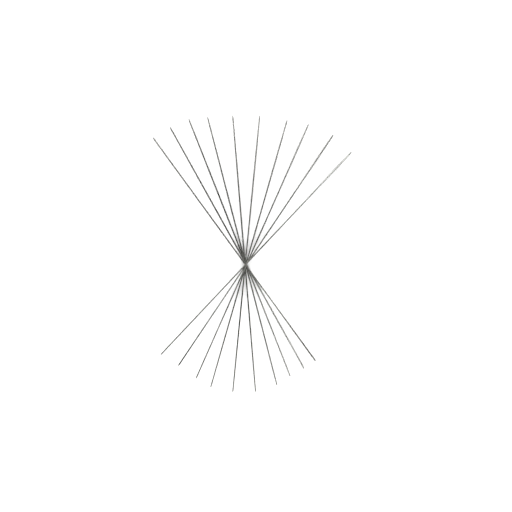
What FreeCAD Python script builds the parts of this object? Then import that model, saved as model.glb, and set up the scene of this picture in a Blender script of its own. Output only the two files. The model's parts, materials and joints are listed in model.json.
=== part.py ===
import FreeCAD, Part
import math
import os

# Ten double pointed sock needles, fanned out on a table.
#
# Each needle is one straight length of plated steel wire, ground to a long slender point at one
# end and to a short blunt point at the other. All ten cross near one place. The first lies flat
# on the table. Each later one crosses over those before it: its long point stays down on the
# table, its shaft leans on the pile, and its short point stands up in the air.
#
# Frame, in mm: the table is z = 0 with +Z up, the long points fan out towards +Y, and the
# origin is the middle of the fan's footprint.

# One needle
NEEDLE_LENGTH = 200.0  # over both tips
WIRE_DIAMETER = 1.0
LONG_POINT = 3.2  # length ground down at the slender end
LONG_TIP_RADIUS = 0.18  # rounding of its very tip
SHORT_POINT = 1.5  # the same at the blunt end
SHORT_TIP_RADIUS = 0.3

# The fan
FAN_SPREAD = 79.3  # degrees from the first needle's heading to the last one's
FAN_LEAN = 3.6  # degrees that the middle of the fan is turned clockwise from +Y
CROSSING_PAST_MIDDLE = 11.5  # from a needle's middle to the crossing, so its long end is heavier
PILE_GAP = 0.05  # air left straight up between two needles where they cross

# How evenly a hand left them, from the bottom of the pile to its top
GAP_SHARES = (7.0, 7.5, 7.0, 9.8, 10.3, 10.4, 7.9, 10.0, 9.4)  # of the spread
DRAWN_OUT = (2.5, 2.5, 2.0, -1.0, -3.0, -3.0, -2.5, 0.0, 2.0, 0.5)  # past the common reach
SIDE_SLIP = (-0.2, 0.4, 0.3, 0.0, -0.5, -0.4, 0.0, 0.4, 0.2, -0.2)  # right of the crossing

WIRE_RADIUS = WIRE_DIAMETER / 2
SETTLING_ROUNDS = 6  # after which a needle's tilt and the height of its long point agree
UP = FreeCAD.Vector(0, 0, 1)
OUTWARD = FreeCAD.Vector(1, 0, 0)  # away from the axis, in the plane of a needle's outline


def point_arc(point_length, tip_radius):
    """Radius of the arc from shaft to tip. It meets the shaft and the ball of the tip without
    a corner, and Pythagoras on the two arcs' centres gives it."""
    run = point_length - tip_radius
    return (run**2 / (WIRE_RADIUS - tip_radius) + WIRE_RADIUS + tip_radius) / 2


LONG_ARC = point_arc(LONG_POINT, LONG_TIP_RADIUS)
SHORT_ARC = point_arc(SHORT_POINT, SHORT_TIP_RADIUS)


def arc_edge(centre, radius, start, end):
    """The arc about a centre between two unit directions, by the shorter way."""
    middle = (start + end).normalize()
    return Part.Arc(*(centre + way * radius for way in (start, middle, end))).toShape()


def point_outline(tip, inward, point_length, tip_radius, arc_radius):
    """Half the outline of a point: the arc of its tip, then the arc of its side. `inward` is the
    direction from the tip into the needle."""
    tip_centre = tip + inward * tip_radius
    side_centre = tip + inward * point_length - OUTWARD * (arc_radius - WIRE_RADIUS)
    join = (tip_centre - side_centre).normalize()
    return [
        arc_edge(tip_centre, tip_radius, inward * -1, join),
        arc_edge(side_centre, arc_radius, join, OUTWARD),
    ]


def make_needle():
    """One needle along +Z with its long tip at the origin: half its outline turned round once."""
    long_tip, short_tip = FreeCAD.Vector(), UP * NEEDLE_LENGTH
    shaft_start = UP * LONG_POINT + OUTWARD * WIRE_RADIUS
    shaft_end = UP * (NEEDLE_LENGTH - SHORT_POINT) + OUTWARD * WIRE_RADIUS
    edges = [
        *point_outline(long_tip, UP, LONG_POINT, LONG_TIP_RADIUS, LONG_ARC),
        Part.makeLine(shaft_start, shaft_end),
        *point_outline(short_tip, UP * -1, SHORT_POINT, SHORT_TIP_RADIUS, SHORT_ARC),
        Part.makeLine(short_tip, long_tip),
    ]
    outline = Part.Wire(Part.__sortEdges__(edges))
    return Part.Face(outline).revolve(long_tip, UP, 360)


class Lie:
    """How one needle lies. Seen from above its axis is a straight line from the long tip along
    `heading`, and `tilt` is the angle at which it climbs from the table towards its short tip."""

    def __init__(self, turn, drawn_out, side_slip):
        self.heading = FreeCAD.Vector(-math.sin(turn), -math.cos(turn), 0)
        self.tilt = 0.0
        reach = NEEDLE_LENGTH / 2 + CROSSING_PAST_MIDDLE + drawn_out
        right = FreeCAD.Vector(math.cos(turn), -math.sin(turn), 0)
        self.tip = self.heading * -reach + right * side_slip

    def distance_to(self, other):
        """From this needle's long tip to where it crosses another, along the table."""
        across = other.heading.cross(other.tip - self.tip)
        return across.z / other.heading.cross(self.heading).z

    def shoulder_height(self):
        """Height of the axis where the long point begins. A tilted needle has rocked up on the
        arc of its point, and that arc's centre stays one arc radius above the table."""
        return LONG_ARC - (LONG_ARC - WIRE_RADIUS) * math.cos(self.tilt)

    def height_at(self, distance):
        """Height of the axis at a distance from the long tip, along the table."""
        climb = distance - LONG_POINT * math.cos(self.tilt)
        return self.shoulder_height() + climb * math.tan(self.tilt)

    def lean_on(self, pile):
        """Tilt until the shaft just clears every needle under it."""
        for _ in range(SETTLING_ROUNDS):
            slopes = [0.0]
            for lower in pile:
                distance = self.distance_to(lower)
                seat = lower.height_at(lower.distance_to(self)) + WIRE_DIAMETER + PILE_GAP
                run = distance - LONG_POINT * math.cos(self.tilt)
                slopes.append((seat - self.shoulder_height()) / run)
            self.tilt = math.atan(max(slopes))

    def placement(self):
        """Where this puts a needle that was made along +Z."""
        direction = self.heading * math.cos(self.tilt) + UP * math.sin(self.tilt)
        start = self.tip + UP * self.height_at(0.0)
        return FreeCAD.Placement(start, FreeCAD.Rotation(UP, direction))


def fan_out():
    """The ten lies, about the common crossing, from the bottom of the pile to its top."""
    pile = []
    turn = FAN_LEAN - FAN_SPREAD / 2
    steps = [share * FAN_SPREAD / sum(GAP_SHARES) for share in GAP_SHARES]
    for step, drawn_out, side_slip in zip((0.0, *steps), DRAWN_OUT, SIDE_SLIP):
        turn += step
        lie = Lie(math.radians(turn), drawn_out, side_slip)
        lie.lean_on(pile)
        pile.append(lie)
    return pile


def swing_centres(pile):
    """Where each needle crosses the one just under it, which is the upright axis it swings on."""
    return [upper.tip + upper.heading * upper.distance_to(lower) for lower, upper in zip(pile, pile[1:])]


def main():
    os.makedirs("parts", exist_ok=True)
    pile = fan_out()
    needles = []
    for lie in pile:
        needle = make_needle()
        needle.Placement = lie.placement()
        needles.append(needle)
    footprint = Part.Compound(needles).optimalBoundingBox(False)
    to_origin = FreeCAD.Vector(-footprint.Center.x, -footprint.Center.y, 0)
    for number, needle in enumerate(needles, start=1):
        needle.translate(to_origin)
        needle.exportStep(f"parts/needle_{number:02d}.step")
    for number, centre in enumerate(swing_centres(pile), start=2):
        place = centre + to_origin
        print(f"needle_{number:02d} swings about x {place.x:.2f}, y {place.y:.2f}")


main()
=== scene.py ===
"""Ten double pointed sock needles of nickel-plated steel wire, fanned out on a pale table.

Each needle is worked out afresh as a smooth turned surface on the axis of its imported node.
All lengths are in metres.
"""
import json
import math

import bpy
import numpy as np
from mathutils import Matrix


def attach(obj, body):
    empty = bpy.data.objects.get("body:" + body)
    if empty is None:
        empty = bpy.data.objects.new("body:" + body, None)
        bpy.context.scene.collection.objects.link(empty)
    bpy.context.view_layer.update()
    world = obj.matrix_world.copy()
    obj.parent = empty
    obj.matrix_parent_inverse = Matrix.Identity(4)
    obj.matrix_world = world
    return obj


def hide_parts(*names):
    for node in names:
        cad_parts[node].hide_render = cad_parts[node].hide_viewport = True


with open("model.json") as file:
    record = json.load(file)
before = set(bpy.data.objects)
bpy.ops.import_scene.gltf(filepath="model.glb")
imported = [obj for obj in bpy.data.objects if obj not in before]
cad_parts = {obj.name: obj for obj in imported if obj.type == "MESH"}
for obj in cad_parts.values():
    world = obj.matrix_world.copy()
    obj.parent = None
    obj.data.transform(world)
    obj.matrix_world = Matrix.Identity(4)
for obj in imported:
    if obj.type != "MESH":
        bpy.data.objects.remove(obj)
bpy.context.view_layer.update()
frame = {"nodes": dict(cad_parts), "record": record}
MOUNTS = {mount["name"]: mount for mount in frame["record"]["mounts"]}

# Turned surface of one needle
LONG_TIP_RADIUS = 0.18e-3
SHORT_TIP_RADIUS = 0.30e-3
FACES_ROUND = 40
RINGS_ON_BALL = 8
RINGS_ON_FLANK = 24
FLANK_CROWDING = 1.4  # over 1 draws the rings on the flank closer together near the ball
STRIPS = 8  # equal lengths that the flat layout of the surface lays side by side
RINGS_IN_STRIP = 10
STRIP_EDGE = 0.02  # share of a strip's width left free all round it
FLAT_LAYOUT = "OFBake"  # the name of the flat layout of the surface

# Colours of the steel, some of which also serve as painted shade, painted glint and painted
# tip reflection
STEEL = (0.33, 0.33, 0.313)
# Fully tarnished steel, also the colour of the painted shade where the needles cross
TARNISH_AND_PAINTED_SHADE = (0.10, 0.10, 0.089)
# Scratched steel, also the painted glint where a needle's tone is below 0
SCRATCH_AND_GLINT_STEEL = (0.60, 0.60, 0.57)
# Ground steel of the points, also the colour of the painted dark reflection at the ends of the
# tips
GROUND_STEEL_AND_TIP_REFLECTION = (0.06, 0.06, 0.054)

# Grains: fineness per metre along each axis, which for a needle is twice across it, then along
# it, then the number of finer layers, and how strong each layer is next to the one before
DRAWN_LINES = ((9000.0, 9000.0, 60.0), 3.0, 0.6)
SCRATCHES = ((21000.0, 21000.0, 260.0), 1.0, 0.5)
DULL_SKIN = ((1300.0, 1300.0, 160.0), 4.0, 0.6)
DULL_STRETCHES = ((150.0, 150.0, 22.0), 2.0, 0.5)
GRINDING_RINGS = ((350.0, 350.0, 15000.0), 3.0, 0.65)
PITS = ((5200.0, 5200.0, 5200.0), 2.0, 0.7)
TABLE_MOTTLE = ((6.0, 6.0, 6.0), 3.0, 0.5)
NEEDLE_SHIFT = 0.37  # moves the grain of each needle along by this much from the last one

# Values of a grain between which it comes up
DULL_SHOWS = (0.44, 0.60)
PITS_SHOW = (0.66, 0.76)
LINES_SHOW = (0.35, 0.72)
SCRATCHES_SHOW = (0.70, 0.80)
RINGS_SHOW = (0.3, 0.7)

# Distances from a tip between which its grinding, and the painted dark reflection at its
# rounded end, fade out
LONG_GROUND = (2.6e-3, 4.4e-3)
SHORT_GROUND = (1.1e-3, 1.9e-3)
LONG_TIP_REFLECTION = (0.2e-3, 1.6e-3)
SHORT_TIP_REFLECTION = (0.1e-3, 0.9e-3)

# Share of tarnish that each mark brings, the needle's tone bringing painted shade as well,
# less the share that rubbing keeps off
TARNISH_OF_TONE_AND_LIGHT = 0.8
TARNISH_OF_SKIN = 0.24
TARNISH_OF_LINES = 0.14
TARNISH_OF_PITS = 0.3
KEPT_OFF = 0.08
SKIN_SHARE = 0.65  # of the dull skin in the dullness. The rest is the dull stretches

# How far other marks cover the colour under them
SCRATCH_COVER = 0.45
RING_COVER = (0.35, 0.75)  # between the rings and on them
# how far the painted dark reflection at the ends of the tips covers
TIP_REFLECTION_COVER = 0.6

# Roughness of bare plating, and what each mark adds to it
BARE_ROUGHNESS = 0.16
ROUGHNESS_OF_SKIN = 0.10
ROUGHNESS_OF_LINES = 0.06
ROUGHNESS_OF_RINGS = 0.08
ROUGHNESS_OF_PITS = 0.15

# Relief: its strength, and the heights of its marks
RELIEF = 0.6
LINE_DEPTH = 3.0e-6
RING_DEPTH = 2.5e-6
SCRATCH_IN_LINES = 0.5  # depth of a scratch as a share of a line's

TONE_AND_LIGHT_PLACES = (0.0, 0.42, 0.72, 1.0)  # shares of a needle's length from its long tip
TONE_AND_PAINTED_LIGHT = (  # tone of each needle at those places: tarnish, with painted shade at the middle where the needles cross, and below 0 a painted glint; -1 brightest glint, 0 clean, 1 fully tarnished
    (0.45, 0.75, -0.30, 1.50),
    (0.70, 1.00, -0.30, -0.30),
    (0.50, 1.50, -0.30, -0.30),
    (0.40, 0.80, 0.45, -0.30),
    (0.00, 0.75, 1.25, -0.60),
    (0.00, 0.25, 1.35, -0.25),
    (0.35, 0.70, 0.70, -0.30),
    (0.30, 1.00, -0.25, 0.15),
    (0.60, 1.10, -0.30, 1.40),
    (0.00, 1.15, 0.60, 0.80),
)

# Table
TABLE_RADIUS = 0.60
TABLE_EDGES = 96
TABLE_ROUGHNESS = 0.9
TABLE_PALE = (0.86, 0.86, 0.86)
TABLE_PALEST = (0.88, 0.88, 0.875)

# Light: two panels overhead and the sky
PANEL_HEIGHT = 1.2
FAR_INNER = 0.42  # from the middle of the table to the near edge of each panel
NEAR_INNER = 0.36
PANEL_OUTER = 1.5
PANEL_WIDTH = 1.0
PANEL_RADIANCE = 7.2
HORIZON = 1.05  # strength of the sky at and below the height of the table
SKY_LOW = 0.24
SKY_HIGH = 0.18
SKY_DIMS = (0.15, 0.95)  # sines of the height above the horizon between which it dims
HORIZON_ENDS = (0.03, 0.12)  # the same, for the white at the horizon
WHITE = (1.0, 1.0, 1.0, 1.0)

# Camera
CAMERA_PLACE = (0.0027, -0.0022, 0.7)
LENS_MM, SENSOR_MM = 68.0, 36.0


# ---------------------------------------------------------------- shader sums
class Maths:
    """A shader socket to be used in sums. Every operator adds one Math node."""

    def __init__(self, shader, socket):
        self.shader, self.socket = shader, socket

    def sum(self, operation, *values):
        return self.shader.node("ShaderNodeMath", {"operation": operation}, *values)

    def __add__(self, other):
        return self.sum("ADD", self, other)

    def __sub__(self, other):
        return self.sum("SUBTRACT", self, other)

    def __rsub__(self, other):
        return self.sum("SUBTRACT", other, self)

    def __mul__(self, other):
        return self.sum("MULTIPLY", self, other)

    __radd__, __rmul__ = __add__, __mul__


class Shader:
    """One node tree, to which nodes are added by type, settings and socket values."""

    def __init__(self, tree):
        self.tree = tree
        tree.nodes.clear()

    def node(self, kind, settings, *values, out=0, **named):
        """Adds a node, sets it up, then fills its inputs by place, leaving out None, and by
        name, where an underscore stands for a space. Gives back the output asked for."""
        made = self.tree.nodes.new(kind)
        for name, setting in settings.items():
            setattr(made, name, setting)
        filled = dict(enumerate(values))
        filled.update({name.replace("_", " "): value for name, value in named.items()})
        for place, value in filled.items():
            if isinstance(value, Maths):
                self.tree.links.new(value.socket, made.inputs[place])
            elif value is not None:
                made.inputs[place].default_value = value
        return Maths(self, made.outputs[out]) if made.outputs else None

    def attribute(self, name, out="Fac"):
        return self.node("ShaderNodeAttribute", {"attribute_name": name}, out=out)

    def noise(self, place, scales, detail, roughness):
        """Noise from 0 to 1, with its own fineness along each axis of the place."""
        stretched = self.node("ShaderNodeVectorMath", {"operation": "MULTIPLY"}, place, scales)
        return self.node("ShaderNodeTexNoise", {"normalize": True}, Vector=stretched,
                         Scale=1.0, Detail=detail, Roughness=roughness)

    def ramp(self, value, low, high, at_low=0.0, at_high=1.0):
        """A smooth step from at_low to at_high as the value goes from low to high."""
        return self.node("ShaderNodeMapRange", {"interpolation_type": "SMOOTHSTEP"},
                         value, low, high, at_low, at_high)

    def mix(self, share, first, second):
        """The first colour where the share is 0, the second where it is 1. The five inputs
        left out belong to mixes of numbers and of vectors."""
        colours = [colour if isinstance(colour, Maths) else (*colour, 1.0)
                   for colour in (first, second)]
        left_out = [None] * 5
        return self.node("ShaderNodeMix", {"data_type": "RGBA"}, share, *left_out, *colours,
                         out=2)


def new_material(name):
    material = bpy.data.materials.new(name)
    material.use_nodes = True
    return material, Shader(material.node_tree)


def plated_steel():
    """Drawn wire, nickel plated: fine lines along the shaft, rings left by the grinding of the
    points, a duller skin where hands have tarnished it, and each needle's tone along its
    length, which adds painted shade where the needles cross and a painted glint where it goes
    below 0. The very ends of the tips get a painted dark reflection."""
    material, shader = new_material("nickel_plated_steel")
    place = shader.attribute("needle_place", "Vector")
    long_way = shader.attribute("from_long_tip")
    short_way = shader.attribute("from_short_tip")
    # each needle's tone: tarnish, painted shade where the needles cross, and a painted glint
    # below 0
    tone_and_light = shader.attribute("needle_tone_and_painted_light")

    drawn = shader.noise(place, *DRAWN_LINES)
    scratches = shader.noise(place, *SCRATCHES)
    skin = shader.noise(place, *DULL_SKIN)
    stretch = shader.noise(place, *DULL_STRETCHES)
    rings = shader.noise(place, *GRINDING_RINGS)
    specks = shader.noise(place, *PITS)

    ground = (shader.ramp(long_way, *LONG_GROUND, 1.0, 0.0)
              + shader.ramp(short_way, *SHORT_GROUND, 1.0, 0.0))
    # painted dark reflection at the rounded end of each tip
    painted_tip_reflection = (shader.ramp(long_way, *LONG_TIP_REFLECTION, 1.0, 0.0)
            + shader.ramp(short_way, *SHORT_TIP_REFLECTION, 1.0, 0.0))

    dull = shader.ramp(skin * SKIN_SHARE + stretch * (1.0 - SKIN_SHARE), *DULL_SHOWS)
    pits = shader.ramp(specks, *PITS_SHOW)
    lines = shader.ramp(drawn, *LINES_SHOW)
    scratched = shader.ramp(scratches, *SCRATCHES_SHOW) * (1.0 - ground)
    # tarnish, with the painted shade that the needle's tone lays where the needles cross
    tarnish_and_painted_shade = shader.node("ShaderNodeClamp", {},
                          tone_and_light * TARNISH_OF_TONE_AND_LIGHT + dull * TARNISH_OF_SKIN
                          + lines * TARNISH_OF_LINES + pits * TARNISH_OF_PITS - KEPT_OFF)
    plating = shader.mix(tarnish_and_painted_shade, STEEL, TARNISH_AND_PAINTED_SHADE)
    # painted glint: below 0 the needle's tone lightens the plating towards scratched steel
    plating_with_painted_glint = shader.mix(shader.ramp(tone_and_light, -1.0, 0.0, 1.0, 0.0), plating, SCRATCH_AND_GLINT_STEEL)
    marked = shader.mix(scratched * SCRATCH_COVER, plating_with_painted_glint, SCRATCH_AND_GLINT_STEEL)
    ringed = shader.mix(ground * shader.ramp(rings, *RINGS_SHOW, *RING_COVER), marked,
                        GROUND_STEEL_AND_TIP_REFLECTION)
    colour = shader.mix(painted_tip_reflection * TIP_REFLECTION_COVER, ringed, GROUND_STEEL_AND_TIP_REFLECTION)

    rough = (BARE_ROUGHNESS + dull * ROUGHNESS_OF_SKIN + lines * ROUGHNESS_OF_LINES
             + ground * rings * ROUGHNESS_OF_RINGS + pits * ROUGHNESS_OF_PITS)
    line_height = (drawn - scratched * SCRATCH_IN_LINES) * (1.0 - ground)
    lines_up = shader.node("ShaderNodeBump", {}, Strength=RELIEF, Distance=LINE_DEPTH,
                           Height=line_height)
    rings_up = shader.node("ShaderNodeBump", {}, Strength=RELIEF, Distance=RING_DEPTH,
                           Height=rings * ground - pits, Normal=lines_up)
    surface = shader.node("ShaderNodeBsdfPrincipled", {}, Base_Color=colour, Metallic=1.0,
                          Roughness=rough, Normal=rings_up)
    shader.node("ShaderNodeOutputMaterial", {}, surface)
    return material


def table_top():
    """Pale matt laminate with a barely seen mottle."""
    material, shader = new_material("pale_table")
    place = shader.node("ShaderNodeTexCoord", {}, out="Object")
    mottle = shader.noise(place, *TABLE_MOTTLE)
    colour = shader.mix(mottle, TABLE_PALE, TABLE_PALEST)
    surface = shader.node("ShaderNodeBsdfPrincipled", {}, Base_Color=colour,
                          Roughness=TABLE_ROUGHNESS, Specular_IOR_Level=0.0)
    shader.node("ShaderNodeOutputMaterial", {}, surface)
    return material


# ---------------------------------------------------------------- needle surface
def flank_radius(point_length, tip_radius, wire_radius):
    """Radius of the arc that leaves the wire smoothly where the point begins and runs
    smoothly onto the ball of the tip."""
    rise = wire_radius - tip_radius
    return ((point_length - tip_radius) ** 2 / rise + wire_radius + tip_radius) / 2


def point_stations(point_length, tip_radius, wire_radius):
    """Distances from the tip and the radius at each, from just off the pole to where the
    point begins. On the ball, distance = tip radius * (1 - cos(turn)), evenly by turn.
    On the flank, radius = wire - arc + sqrt(arc ^ 2 - (point length - distance) ^ 2),
    closer together towards the ball."""
    arc = flank_radius(point_length, tip_radius, wire_radius)
    last_turn = math.acos((point_length - tip_radius) / (arc - tip_radius))
    turn = np.linspace(0.0, last_turn, RINGS_ON_BALL + 1)[1:]
    ball = tip_radius * (1.0 - np.cos(turn))
    share = np.linspace(0.0, 1.0, RINGS_ON_FLANK + 1)[1:]
    flank = ball[-1] + (point_length - ball[-1]) * share ** FLANK_CROWDING
    ball_radius = tip_radius * np.sin(turn)
    flank_height = wire_radius - arc + np.sqrt(arc ** 2 - (point_length - flank) ** 2)
    return np.concatenate((ball, flank)), np.concatenate((ball_radius, flank_height))


def turned_surface(tip, axis, length, stations, radii):
    """Vertices and faces of a surface turned round an axis:
    vertex = tip + axis * station + radius * (across * cos(turn) + up * sin(turn)).
    One vertex closes each end. Also gives each vertex's place in the needle's own frame."""
    across = np.cross(axis, (0.0, 0.0, 1.0))
    across /= np.linalg.norm(across)
    up = np.cross(axis, across)
    turn = np.arange(FACES_ROUND) * (2.0 * math.pi / FACES_ROUND)
    own = np.stack(np.broadcast_arrays(radii[:, None] * np.cos(turn),
                                       radii[:, None] * np.sin(turn),
                                       stations[:, None]), axis=-1).reshape(-1, 3)
    own = np.vstack((own, (0.0, 0.0, 0.0), (0.0, 0.0, length)))
    vertices = tip + own @ np.stack((across, up, axis))

    ring = np.arange(len(stations) - 1)[:, None] * FACES_ROUND
    here = np.arange(FACES_ROUND)
    after = (here + 1) % FACES_ROUND
    sides = np.stack((ring + here, ring + after, ring + FACES_ROUND + after,
                      ring + FACES_ROUND + here), axis=-1).reshape(-1, 4)
    pole = len(stations) * FACES_ROUND
    last = pole - FACES_ROUND
    start = np.stack((np.full(FACES_ROUND, pole), after, here), axis=-1)
    end = np.stack((np.full(FACES_ROUND, pole + 1), last + here, last + after), axis=-1)
    return vertices, own, sides.tolist() + start.tolist() + end.tolist()


def flat_layout(length, stations):
    """Where each corner of each face lies on a square sheet, in the order of the faces. The
    needle is cut into strips of equal length, side by side:
    across = (strip + turns round) / strips and along = strips * station / length - strip,
    both drawn in a little from the strip's edges."""
    here = np.arange(FACES_ROUND)
    rows = len(stations) - 1
    turns = np.tile(np.stack((here, here + 1, here + 1, here), axis=-1), (rows, 1))
    places = np.stack((stations[:-1], stations[:-1], stations[1:], stations[1:]), axis=-1)
    places = np.repeat(places, FACES_ROUND, axis=0)
    tip_turns = np.stack((here + 0.5, here + 1, here), axis=-1)
    end_turns = np.stack((here + 0.5, here, here + 1), axis=-1)
    tip_places = np.tile((0.0, stations[0], stations[0]), (FACES_ROUND, 1))
    end_places = np.tile((length, stations[-1], stations[-1]), (FACES_ROUND, 1))
    sheet = []
    for turn, place in ((turns, places), (tip_turns, tip_places), (end_turns, end_places)):
        middle = place.mean(axis=1, keepdims=True)
        strip = np.floor(middle * STRIPS / length)
        across = STRIP_EDGE + (1.0 - 2.0 * STRIP_EDGE) * turn / FACES_ROUND
        along = place * STRIPS / length - strip
        along = STRIP_EDGE / STRIPS + (1.0 - 2.0 * STRIP_EDGE / STRIPS) * along
        sheet.append(np.stack(((strip + across) / STRIPS, along), axis=-1).reshape(-1, 2))
    return np.concatenate(sheet)


def make_needle(node_name, order, steel):
    """One needle on its node's axis, which runs through its two mounts. The tips are where
    the node reaches furthest along that axis."""
    number = node_name.split("_")[-1]
    long_mount, short_mount = MOUNTS["long_end_" + number], MOUNTS["short_end_" + number]
    begins, ends = np.array(long_mount["pos_m"]), np.array(short_mount["pos_m"])
    wire_radius = long_mount["dims"]["r_mm"] * 1e-3
    shaft = float(np.linalg.norm(ends - begins))
    axis = (ends - begins) / shaft
    corners = np.empty(len(frame["nodes"][node_name].data.vertices) * 3)
    frame["nodes"][node_name].data.vertices.foreach_get("co", corners)
    reach = (corners.reshape(-1, 3) - begins) @ axis
    long_point, short_point = -reach.min(), reach.max() - shaft
    length = long_point + shaft + short_point

    first, first_radii = point_stations(long_point, LONG_TIP_RADIUS, wire_radius)
    final, final_radii = point_stations(short_point, SHORT_TIP_RADIUS, wire_radius)
    rings = STRIPS * RINGS_IN_STRIP
    even = length * np.arange(1, rings) / rings
    middle = even[(even > long_point) & (even < long_point + shaft)]
    stations = np.concatenate((first, middle, (length - final)[::-1]))
    radii = np.concatenate((first_radii, np.full(len(middle), wire_radius), final_radii[::-1]))
    vertices, own, faces = turned_surface(begins - axis * long_point, axis, length,
                                          stations, radii)

    mesh = bpy.data.meshes.new("plated_" + node_name)
    mesh.from_pydata(vertices.tolist(), [], faces)
    mesh.polygons.foreach_set("use_smooth", [True] * len(faces))
    from_long_tip = own[:, 2].copy()
    own[:, 2] += order * NEEDLE_SHIFT
    store(mesh, "needle_place", "FLOAT_VECTOR", "vector", own)
    store(mesh, "from_long_tip", "FLOAT", "value", from_long_tip)
    store(mesh, "from_short_tip", "FLOAT", "value", length - from_long_tip)
    # tone along the needle: tarnish, painted shade where the needles cross, and a painted
    # glint where it is below 0
    tone_and_light_along = np.interp(from_long_tip / length, TONE_AND_LIGHT_PLACES, TONE_AND_PAINTED_LIGHT[order])
    store(mesh, "needle_tone_and_painted_light", "FLOAT", "value", tone_and_light_along)
    layout = mesh.uv_layers.new(name=FLAT_LAYOUT)
    layout.uv.foreach_set("vector", flat_layout(length, stations).astype(np.float32).ravel())
    mesh.materials.append(steel)
    mesh.update()
    piece = bpy.data.objects.new("plated_" + node_name, mesh)
    bpy.context.scene.collection.objects.link(piece)
    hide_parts(node_name)
    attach(piece, node_name)


def store(mesh, name, kind, field, values):
    """Keeps one value for each vertex in the mesh, under a name the materials can read."""
    made = mesh.attributes.new(name, kind, "POINT")
    made.data.foreach_set(field, np.asarray(values, np.float32).ravel())


# ---------------------------------------------------------------- table, light, camera
def make_table():
    """A round pale table top: edge = radius * (cos(turn), sin(turn))."""
    turn = np.arange(TABLE_EDGES) * (2.0 * math.pi / TABLE_EDGES)
    edge = TABLE_RADIUS * np.stack((np.cos(turn), np.sin(turn), 0.0 * turn), axis=-1)
    mesh = bpy.data.meshes.new("table")
    mesh.from_pydata(edge.tolist(), [], [list(range(TABLE_EDGES))])
    mesh.materials.append(table_top())
    table = bpy.data.objects.new("table", mesh)
    bpy.context.scene.collection.objects.link(table)


def make_panel(name, side, inner):
    """A soft panel overhead, on the side of +Y or -Y. Its power is its radiance times pi
    times its area."""
    depth = PANEL_OUTER - inner
    light = bpy.data.lights.new(name, "AREA")
    light.shape = "RECTANGLE"
    light.size, light.size_y = PANEL_WIDTH, depth
    light.energy = PANEL_RADIANCE * math.pi * PANEL_WIDTH * depth
    panel = bpy.data.objects.new(name, light)
    panel.location = (0.0, side * (inner + PANEL_OUTER) / 2, PANEL_HEIGHT)
    bpy.context.scene.collection.objects.link(panel)


def make_sky():
    """White at and below the level of the table, dim above it, and dimmest overhead."""
    world = bpy.data.worlds.new("studio")
    world.use_nodes = True
    bpy.context.scene.world = world
    shader = Shader(world.node_tree)
    way = shader.node("ShaderNodeTexCoord", {}, out="Generated")
    height = shader.node("ShaderNodeSeparateXYZ", {}, way, out=2)
    strength = (shader.ramp(height, *SKY_DIMS, SKY_LOW, SKY_HIGH)
                + shader.ramp(height, *HORIZON_ENDS, HORIZON - SKY_LOW, 0.0))
    background = shader.node("ShaderNodeBackground", {}, WHITE, strength)
    shader.node("ShaderNodeOutputWorld", {}, background)


def make_camera():
    data = bpy.data.cameras.new("camera")
    data.lens, data.sensor_width = LENS_MM, SENSOR_MM
    camera = bpy.data.objects.new("camera", data)
    camera.location = CAMERA_PLACE
    bpy.context.scene.collection.objects.link(camera)
    bpy.context.scene.camera = camera


steel = plated_steel()
for order, node_name in enumerate(sorted(frame["nodes"])):
    make_needle(node_name, order, steel)
make_table()
make_panel("panel_far", 1.0, FAR_INNER)
make_panel("panel_near", -1.0, NEAR_INNER)
make_sky()
make_camera()
bpy.context.scene.view_settings.view_transform = "Standard"
